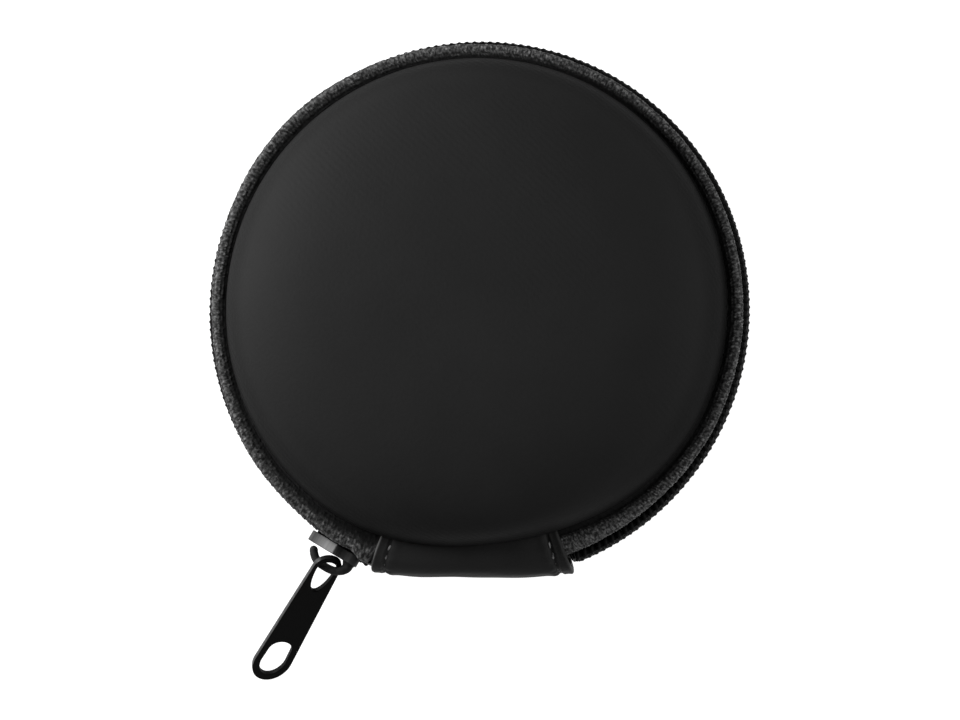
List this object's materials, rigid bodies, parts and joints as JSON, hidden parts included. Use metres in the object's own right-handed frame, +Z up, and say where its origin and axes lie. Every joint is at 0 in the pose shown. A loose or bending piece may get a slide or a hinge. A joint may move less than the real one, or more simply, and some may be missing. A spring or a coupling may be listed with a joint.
{
  "type": "headphone carrying case",
  "caption": "Round zippered clamshell carrying case for earphones, leather covered, with a hinge strip, coil zipper, slider and swinging pull tab.",
  "frame": {"origin": "centre of the flat face that the closed case rests on, under the centre of its round outline", "axes": "+Z up through the middle of the lid, +Y away from the hinge, +X to the right seen from above with the hinge towards the viewer"},
  "size_m": [0.08, 0.0935, 0.035],
  "materials": {
    "cover_leather": "satin, very fine soft grain",
    "hinge_leather": "satin, very fine soft grain",
    "shell_foam": "matte closed-cell foam",
    "lining_fabric": "matte knit",
    "edge_binding": "ribbed tape",
    "zipper_tape": "woven, speckled with light",
    "coil_nylon": "glossy monofilament",
    "stop_metal": "black lacquer",
    "pocket_net": "open knit net",
    "pocket_elastic": "ribbed elastic",
    "stitch_thread": "twisted polyester",
    "slider_metal": "black lacquer, worn satin on the edges",
    "tab_metal": "black lacquer, satin edges"
  },
  "bodies": {
    "base": {"base_cover": "cover_leather", "base_foam": "shell_foam", "base_lining": "lining_fabric", "base_edge_binding": "edge_binding", "base_zip_tape": "zipper_tape", "base_zip_coil": "coil_nylon", "base_top_stop": "stop_metal", "zip_bottom_stop": "stop_metal", "hinge_strip": "hinge_leather", "hinge_lining": "lining_fabric", "hinge_stitch_left": "stitch_thread", "hinge_stitch_right": "stitch_thread"},
    "lid": {"lid_cover": "cover_leather", "lid_foam": "shell_foam", "lid_lining": "lining_fabric", "lid_edge_binding": "edge_binding", "lid_zip_tape": "zipper_tape", "lid_zip_coil": "coil_nylon", "lid_tape_end_left": "zipper_tape", "lid_tape_end_right": "zipper_tape", "lid_coil_end_left": "coil_nylon", "lid_coil_end_right": "coil_nylon", "lid_top_stop": "stop_metal", "mesh_pocket": "pocket_net", "pocket_elastic": "pocket_elastic"},
    "slider": {"slider_body": "slider_metal", "slider_bail": "slider_metal"},
    "pull": {"pull_tab": "tab_metal"}
  },
  "joints": [
    {"name": "lid_open", "type": "hinge", "parent": "base", "child": "lid", "pos_m": [0, -0.0393, 0.0175], "axis": [1, 0, 0], "range_deg": [0, 178], "deforming": ["hinge_strip", "hinge_lining", "hinge_stitch_left", "hinge_stitch_right", "lid_tape_end_left", "lid_tape_end_right", "lid_coil_end_left", "lid_coil_end_right", "lid_top_stop"]},
    {"name": "slider_travel", "type": "hinge", "parent": "base", "child": "slider", "pos_m": [0, 0, 0.0175], "axis": [0, 0, 1], "range_deg": [-300, 0]},
    {"name": "pull_swing", "type": "hinge", "parent": "slider", "child": "pull", "pos_m": [-0.02292, -0.03785, 0.0175], "axis": [-0.8554, 0.518, 0], "range_deg": [-48, 135]}
  ]
}
